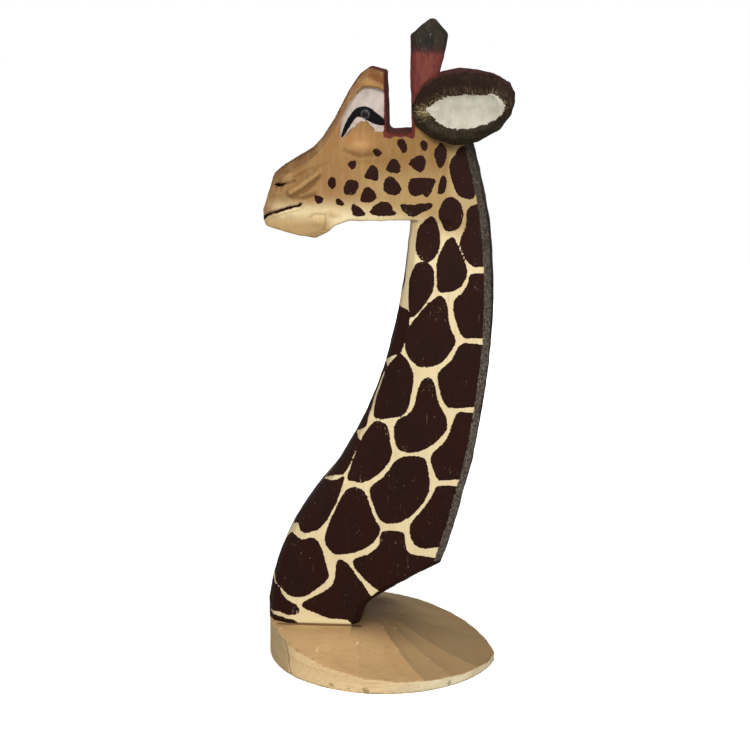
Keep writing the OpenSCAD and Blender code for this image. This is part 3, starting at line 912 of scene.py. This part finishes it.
def paint_carving(piece, back):
    """Stores the painted areas on the points, as distances in mm from their edges."""
    co, no = points(piece), normals(piece)
    x, y, z = co.T
    back_x = np.interp(z, *back)
    attribute(piece, "foot_strip", distance_in(x, z, FOOT_STRIP))
    attribute(piece, "mane", mane_field(x, z, no, back_x))
    # Painted shade: a dark strip along the back edge of the neck, beside the mane's grey.
    attribute(piece, "mane_edge", np.minimum(x - back_x + 0.9, np.abs(y) - 8.5))

    in_horn = (x > NOTCH[1] - 0.4) & (z > 245)
    lower = z - 262 - (x - 14) * 0.4 + 6 * (no[:, 0] < -0.5)
    attribute(piece, "horn", np.where(in_horn, lower, -4))
    attribute(piece, "cap", np.where(in_horn, z - CAP_Z, -8))
    attribute(piece, "maroon", trim_field(co, no, in_horn))

    eye_side = (side_of(no) > 0.3) & (z > 243)
    white = np.minimum(distance_in(x, z, curve(EYE_WHITE)), -distance_in(x, z, LID_MOUND) + 0.1)
    attribute(piece, "white", np.where(eye_side & (x < NOTCH[0]), np.minimum(white, 0.75 - x), -3))
    lash = np.where(eye_side, distance_in(x, z, curve(LASH)), -3)
    mouth, on_mouth = distance_to(x, z, MOUTH)
    lips = 0.5 - 0.05 * on_mouth + 0.75 * step(0.22, 0.02, on_mouth) - mouth
    lips = np.where((z < 220) & (x < -30), lips, -3)
    hole = np.where(side_of(no) > 0.2, np.minimum(distance_in(x, z, NOSTRIL), 1), -3)
    attribute(piece, "black", np.maximum(lash, np.where(on_mouth < 0.26, lips, -3)))
    attribute(piece, "patch", np.maximum.reduce([patch_field(co, no), lips + 0.12, hole]))

    # Painted shade for the head's cuts and folds, stored on the points.
    attribute(piece, "wear_and_shade", carving_painted_shade(x, z, no))
    colour_attribute(piece, "ground_and_shading", carving_colour_and_shading(x, z, no))


def carving_painted_shade(x, z, no):
    """Painted shade in the cuts, folds and grooves of the head, 0 to 1."""
    bevel = [(-45.5, 232), (-41, 232.8), (-37, 234.6), (-33.6, 237.4), (-29.6, 241.4)]
    wear_and_shade = 0.4 * stroke(x, z, curve(MUZZLE_FOLD, False), 1.5)
    wear_and_shade += 0.25 * stroke(x, z, LOWER_FOLD, 1.3)
    wear_and_shade += 0.75 * stroke(x, z, [(-45, 226.8), (-42, 227.6), (-39, 228.9)], 0.9, 0.1)
    wear_and_shade += 0.35 * stroke(x, z, [(-15.5, 241.4), (-10, 239.8), (-3, 240.8)], 1.3)
    wear_and_shade += 0.35 * stroke(x, z, bevel, 1.4, 0.2)
    wear_and_shade += 0.3 * stroke(x, z, [(-42, 225.2), (-36.5, 229), (-29.4, 233.8)], 1.2)
    wear_and_shade += 0.2 * stroke(x, z, [(-31, 233.7), (-24, 237.4)], 1.3)
    wear_and_shade += 0.35 * stroke(x, z, CHIN_CREASE, 0.6)
    return np.clip(np.where(side_of(no) > 0.25, wear_and_shade, 0), 0, 1)


def carving_colour_and_shading(x, z, no):
    """The colour under the patches: cream neck, tan head, brown nose, painted highlights and painted
    shade.
    """
    ground_and_shading = Coats(len(x), CREAM)
    ground_and_shading.lay(step(208, 222, z + 0.25 * x), rgb(180, 148, 98))
    ground_and_shading.lay(step(226, 240, z), rgb(152, 115, 67))
    ground_and_shading.lay(step(28, 33, x) * step(250, 238, z) * step(209, 214, z), rgb(196, 170, 122))
    ground_and_shading.lay(step(2, -20, x) * step(212, 226, z), rgb(162, 120, 74))
    ground_and_shading.lay(step(-22, -34, x) * step(216, 222, z), rgb(160, 122, 76))
    ground_and_shading.lay(0.6 * oval(x, z, (-9, 246), (15, 9)), rgb(182, 130, 80))
    # Painted highlight on the ridge under the eye.
    ground_and_shading.lay(0.8 * oval(x, z, (-9.5, 244.8), (8, 3.4), 4), rgb(206, 160, 106))
    # Painted highlight along the muzzle's ridge.
    ground_and_shading.lay(0.6 * stroke(x, z, MUZZLE_RIDGE, 1.3), rgb(192, 152, 98))
    # Painted highlight on the mound above the nostril.
    ground_and_shading.lay(0.7 * oval(x, z, (-42.5, 229), (4, 1.6), 14), rgb(198, 160, 110))
    ground_and_shading.lay(0.5 * oval(x, z, (-44, 220), (6, 4)), rgb(150, 130, 92))
    # Brown wash along the groove above the muzzle ridge, with painted shade in the groove.
    ground_and_shading.lay(0.6 * oval(x, z, (-36, 231), (10, 2), 32), rgb(140, 98, 56))
    ground_and_shading.lay(step(-20, -26, x) * step(216, 208, z) * (z > 198), rgb(188, 155, 106))
    # Painted highlights on the chin's two flat cuts.
    ground_and_shading.lay(0.8 * oval(x, z, (-29, 210.5), (5, 3.2), 4), rgb(212, 178, 130))
    ground_and_shading.lay(0.8 * oval(x, z, (-22, 214.6), (6, 3), -8), rgb(216, 184, 134))
    ground_and_shading.lay(step(-44, -52, x) * step(222, 216, z) * step(209, 214, z), rgb(168, 136, 98))
    ground_and_shading.lay(step(262, 268, z) * (x < 3), rgb(150, 112, 66))
    ground_and_shading.lay(step(271, 272.2, z + 0.5 * x) * (x < 3), rgb(126, 78, 44))
    # Painted highlight on the brow ridge.
    ground_and_shading.lay(0.85 * oval(x, z, (-4.4, 271.4), (7, 2.6), -26), rgb(176, 134, 82))
    edge, along = distance_to(x, z, HEAD_FRONT)
    broad = 3.0 + 1.4 * step(0.4, 0.6, along)
    band = step(broad, broad - 1.2, edge) * step(0.98, 0.75, along)
    ground_and_shading.lay((0.7 + 0.25 * step(0.4, 0.6, along)) * band, rgb(124, 89, 54))
    # Painted shade on the faces of the head that turn to the front (-X).
    ground_and_shading.lay(step(0.3, 0.6, -no[:, 0]) * step(212, 225, z) * (x < 0), rgb(140, 104, 72))
    # Painted shade on the front of the neck, where it turns to -X.
    ground_and_shading.lay(0.45 * step(0.3, 0.7, -no[:, 0]) * step(212, 206, z), rgb(170, 150, 116))
    return ground_and_shading.colour


def on_cheek(at, no):
    """The sides of the head, which carry the finest carving and spots."""
    x, y, z = at.T
    behind = (x < 30) & (z < 249) & (z > JAW_Z)
    return ((x < 1.5) & (z > 203) | behind) & (side_of(no) > 0.25) & (np.abs(y) > 6)


def make_carving():
    piece = remeshed("neck_and_head", "carving", CARVING_VOXEL)
    back = back_edge(points(piece))
    refine(piece, on_cheek)
    soften(piece, 1)
    sculpt_carving(piece)
    paint_carving(piece, back)
    finish_piece(piece, painted_wood(), "painted_wood", "neck_and_head")


# ------------------------ the ears


def ear_frame(hand):
    """The left or right ear's root and axes: along it, up it, and out of its face."""
    turn = math.radians(EAR_TURN if hand < 0 else RIGHT_EAR_TURN)
    lift = math.radians(EAR_LIFT)
    root = np.array(EAR_ROOT, float) + (np.array(RIGHT_EAR_MOVE) if hand > 0 else 0)
    along = np.array([math.cos(lift) * math.cos(turn), -math.cos(lift) * math.sin(turn), math.sin(lift)])
    out = np.array([-math.sin(turn), -math.cos(turn), 0])
    up = np.cross(out, along)
    mirror = np.array([1, -hand, 1])
    return root * mirror, along * mirror, up * mirror, out * mirror


def make_ear(node, name, hand):
    """hand is -1 for the left ear and 1 for the right."""
    piece = remeshed(node, name, EAR_VOXEL)
    soften(piece, 1)
    co, no = points(piece), normals(piece)
    root, along, up, out = ear_frame(hand)
    length, height = (co - root) @ along, (co - root) @ up
    white = distance_in(length, height, curve(EAR_WHITE))
    facing = no @ out
    outer = step(-0.4, 0.3, facing)
    seat = np.abs(np.abs(co[:, 1]) - HALF_HEAD) < 0.7
    cuts = knife_cuts(co, 6, 21 if hand < 0 else 22)
    lean = (0.6 + 0.5 * step(36, 44, length)) * (cuts - 0.5) * step(1, -3, white) * (~seat)
    spokes = np.sin(length * 2.1 + 2 * np.sin(length * 0.7))
    lean = lean + 0.16 * spokes * step(-6, -1, white) * step(1, -0.4, white) * outer
    swell = 0.7 * step(0, 5, white) * outer
    co += no * (swell - lean)[:, None]
    place(piece, co)
    attribute(piece, "white", np.where(facing > 0.1, white, -8))
    attribute(piece, "stroke", np.where((facing > 0.1) & (height > -3), white, -8))
    attribute(piece, "lower", np.where(facing > 0, -height - 5, -6))
    attribute(piece, "band", distance_in(length, height, EAR_BAND))
    smear = 2.6 - np.hypot((length - 3.6) * 0.7, height + 2.6)
    attribute(piece, "smear", np.where(facing > 0, smear, -6))
    finish_piece(piece, EAR_PAINT, "ear_paint", node)


# ------------------------ the base


def facets(x, y, rim):
    """How deep the facets are, how dark with painted shade, how far from a ridge, and the way from their
    centre.
    """
    dx, dy = x - FACET_CENTRE[0], y - FACET_CENTRE[1]
    away = np.hypot(dx, dy)
    hook = FACET_HOOK * step(30, 12, away)
    first = FACETS[0][0]
    bearing = (np.degrees(np.arctan2(dy, dx)) + hook - first) % 360 + first
    scoop = np.zeros(len(x))
    tone_and_shade = np.zeros(len(x))
    ridge = np.full(len(x), 99.0)
    ends = [start for start, _, _ in FACETS[1:]] + [first + 360]
    for (low, dark, deep), high in zip(FACETS, ends):
        t = (bearing - low) / (high - low)
        inside = (t >= 0) & (t < 1)
        hollow = deep * 4 * t * (1 - t) * (1.4 - 0.8 * t) * (0.3 + 0.7 * step(1, 12, rim))
        scoop = np.where(inside, hollow, scoop)
        tone_and_shade = np.where(inside, dark, tone_and_shade)
        ridge = np.minimum(ridge, np.abs(bearing - low) * away * math.pi / 180)
    return scoop, tone_and_shade, ridge, away


def base_shade(x, up, tone_and_shade, around):
    """The foot plate's colour: a pale rim with painted light and shade, and painted shade on the top and
    facets.
    """
    shade = Coats(len(x), rgb(250, 216, 162))
    # Painted shade: the top laid darker than the sides of the rim.
    shade.lay(up, rgb(206, 167, 117))
    # Painted shade on the facets that slope away from the light and lie under the neck.
    shade.lay(0.85 * tone_and_shade * up, rgb(140, 118, 82))
    # Painted light: the rim's sides laid paler towards the right.
    shade.lay(0.8 * step(-5, 30, x) * (1 - up), rgb(255, 244, 206))
    # Painted shade: the rim's sides laid darker on the left, past the crack.
    left = step(CRACK_BEARING + 1, CRACK_BEARING - 1, around) * (x < 0)
    shade.lay(0.7 * left * (1 - up), rgb(184, 160, 116))
    return shade.colour


def make_base():
    """The foot plate, with scooped knife facets on top, a drying crack and small chips."""
    piece = remeshed("base", "foot_plate", BASE_VOXEL)
    soften(piece, 2)
    co, no = points(piece), normals(piece)
    x, y, z = co.T
    centre_y = -BASE_SHIFT * np.sign(y)
    rim = BASE_RADIUS - np.hypot(x, y - centre_y)
    scoop, tone_and_shade, ridge, away = facets(x, y, rim)
    top = step(0.3, 0.7, no[:, 2]) * step(17.6, 14, z)
    near = step(20, -5, y)
    lower = scoop * top * step(4, 24, away) * np.clip(away / 45, 0, 1.2) * (0.35 + 0.65 * near)
    lower += 0.2 * waves(co, 7, 31) * top * step(6, 1, rim) * near
    lower += 0.12 * knife_cuts(co, 11, 33) * top * near
    co[:, 2] -= np.minimum(lower, np.maximum(z - LEAST_BASE, 0))

    sidewall = step(0.5, 0.2, np.abs(no[:, 2])) * step(5, 1, rim)
    around = np.degrees(np.arctan2(y, x)) % 360
    crack_off = (around - CRACK_BEARING + 0.35 * (z - 6)) * 0.95 + 0.5 * np.sin(z / 2)
    crack = step(0.9, 0, np.abs(crack_off)) * sidewall * (x < -20)
    cuts = 0.4 * knife_cuts(co, 12, 32, (1, 1, 3)) * sidewall
    inward = np.stack([-x, -(y - centre_y), np.zeros_like(x)], 1) / BASE_RADIUS
    co += inward * (cuts + 1.3 * crack)[:, None]
    co[:, 2] = np.where(z < 0.4, 0, np.maximum(co[:, 2], 0))
    place(piece, co)

    up = step(0.3, 0.7, normals(piece)[:, 2])
    colour_attribute(piece, "tone_and_shade", base_shade(x, up, tone_and_shade * step(3, 9, away), around))
    # Painted shadow: a dark line along the foot's front edge, where it meets the plate.
    seam = step(1.3, 0.3, np.abs(y + 15)) * (x > -50) * (x < -9)
    # Painted shadow beside and behind the foot, under the overhanging neck.
    beside_x = np.maximum(x + 10, 0) * 0.8
    beside_y = np.maximum(np.abs(y - 4) - 12, 0) * 1.6
    beside = step(34, 4, np.hypot(beside_x, beside_y)) * (x > -14)
    worn = step(0.2, 0.9, waves(co, 1.6, 41)) * step(2.4, 0.4, rim)
    chip = step(0.75, 1, waves(co, 3.5, 42) * step(4, 2, z)) * step(1.4, 0.2, rim)
    # Painted shadow (by the foot, along the seam, in the crack) mixed with real wear and chips.
    wear_and_shade = (0.7 * beside + 0.35 * worn + 0.85 * seam) * up + 0.9 * crack + 0.5 * chip
    attribute(piece, "wear_and_shade", np.clip(wear_and_shade, 0, 1))
    # Painted highlight: pale specks along the ridges between the facets.
    ridge_highlight = step(0.8, 0.3, ridge) * step(0.75, 1.1, waves(co, 3.1, 43))
    attribute(piece, "ridge_highlight", ridge_highlight * up * step(4, 12, away))
    finish_piece(piece, bare_wood(), "bare_wood", "base")


# ------------------------ pegs, screws and pins


def dress(node, material):
    """Gives a carried-over CAD node its procedural material."""
    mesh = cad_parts[node].data
    for i in range(max(1, len(mesh.materials))):
        if i < len(mesh.materials):
            mesh.materials[i] = material
        else:
            mesh.materials.append(material)


# ------------------------ light and camera

CAMERA_AT = (50.2, -718.2, 305)
CAMERA_TARGET = (-4, 0, 137.2)
FOCAL_LENGTH = 75.95
SENSOR = 36


def look_at(thing, target):
    thing.rotation_euler = (Vector(target) * MM - thing.location).to_track_quat("-Z", "Y").to_euler()


def area_light(name, at, target, size, watts, colour=(1, 1, 1)):
    data = bpy.data.lights.new(name, "AREA")
    data.shape = "DISK"
    data.size = size * MM
    data.energy = watts
    data.color = colour
    light = add(name, data)
    light.location = Vector(at) * MM
    look_at(light, target)
    return light


def studio():
    """A white floor and backdrop, soft light, and the camera."""
    mesh = bpy.data.meshes.new("floor")
    half = 6.0
    corners = [(-half, -half, 0), (half, -half, 0), (half, half, 0), (-half, half, 0)]
    mesh.from_pydata(corners, [], [(0, 1, 2, 3)])
    floor = add("floor", mesh)
    m = Shader("floor", roughness=0.9, specular=0.1)
    m.surface.inputs["Emission Color"].default_value = (1, 1, 1, 1)
    distance = m.node("ShaderNodeVectorMath", operation="LENGTH")
    m.feed(distance.inputs[0], m.where)
    out = distance.outputs["Value"]
    m.feed(m.surface.inputs["Emission Strength"], m.between(out, 0.12, 0.6, 0.5, 1.0))
    pale = m.mix(m.noise(400), rgb(246, 245, 243), rgb(240, 239, 237))
    mesh.materials.append(m.done(m.tint(pale, rgb(0, 0, 0), out, 0.3, 1.3)))
    floor.visible_diffuse = False
    floor.visible_glossy = False

    dome_mesh = bpy.data.meshes.new("backdrop")
    work = bmesh.new()
    bmesh.ops.create_uvsphere(work, u_segments=48, v_segments=24, radius=7.0)
    work.to_mesh(dome_mesh)
    work.free()
    dome = add("backdrop", dome_mesh)
    glow = Shader("backdrop", roughness=1.0, specular=0.0)
    glow.surface.inputs["Emission Color"].default_value = (1, 1, 1, 1)
    glow.surface.inputs["Emission Strength"].default_value = 1.0
    dome_mesh.materials.append(glow.done((0.0, 0.0, 0.0)))
    dome.visible_diffuse = False
    dome.visible_glossy = False
    dome.visible_shadow = False

    area_light("key", (120, -900, 640), (0, 0, 120), 380, 6.2, (1.0, 0.985, 0.96))
    area_light("window", (-620, -420, 780), (0, 0, 100), 360, 2.4, (1.0, 0.99, 0.97))
    area_light("fill", (900, -500, 420), (0, 0, 130), 600, 1.7)
    back = area_light("back", (-100, 950, 220), (0, 0, 150), 500, 3.6, (1.0, 0.985, 0.96))
    back.visible_glossy = False

    world = bpy.data.worlds.new("studio")
    world.use_nodes = True
    world.node_tree.nodes["Background"].inputs["Color"].default_value = (1, 1, 1, 1)
    world.node_tree.nodes["Background"].inputs["Strength"].default_value = 0.31
    bpy.context.scene.world = world
    bpy.context.scene.view_settings.view_transform = "Standard"

    data = bpy.data.cameras.new("camera")
    data.lens = FOCAL_LENGTH
    data.sensor_width = SENSOR
    data.clip_start = 0.01
    camera = add("camera", data)
    camera.location = Vector(CAMERA_AT) * MM
    look_at(camera, CAMERA_TARGET)
    bpy.context.scene.camera = camera


EAR_PAINT = ear_paint()
studio()
make_carving()
make_ear("ear_left", "left_ear", -1)
make_ear("ear_right", "right_ear", 1)
make_base()
dowel_wood = plain_wood()
pupil_paint = pin_paint()
for peg in ("ear_dowel_left", "ear_dowel_right", "foot_dowel"):
    dress(peg, dowel_wood)
dress("base_screws", screw_steel())
for pin in ("pupil_pin_left", "pupil_pin_right"):
    dress(pin, pupil_paint)
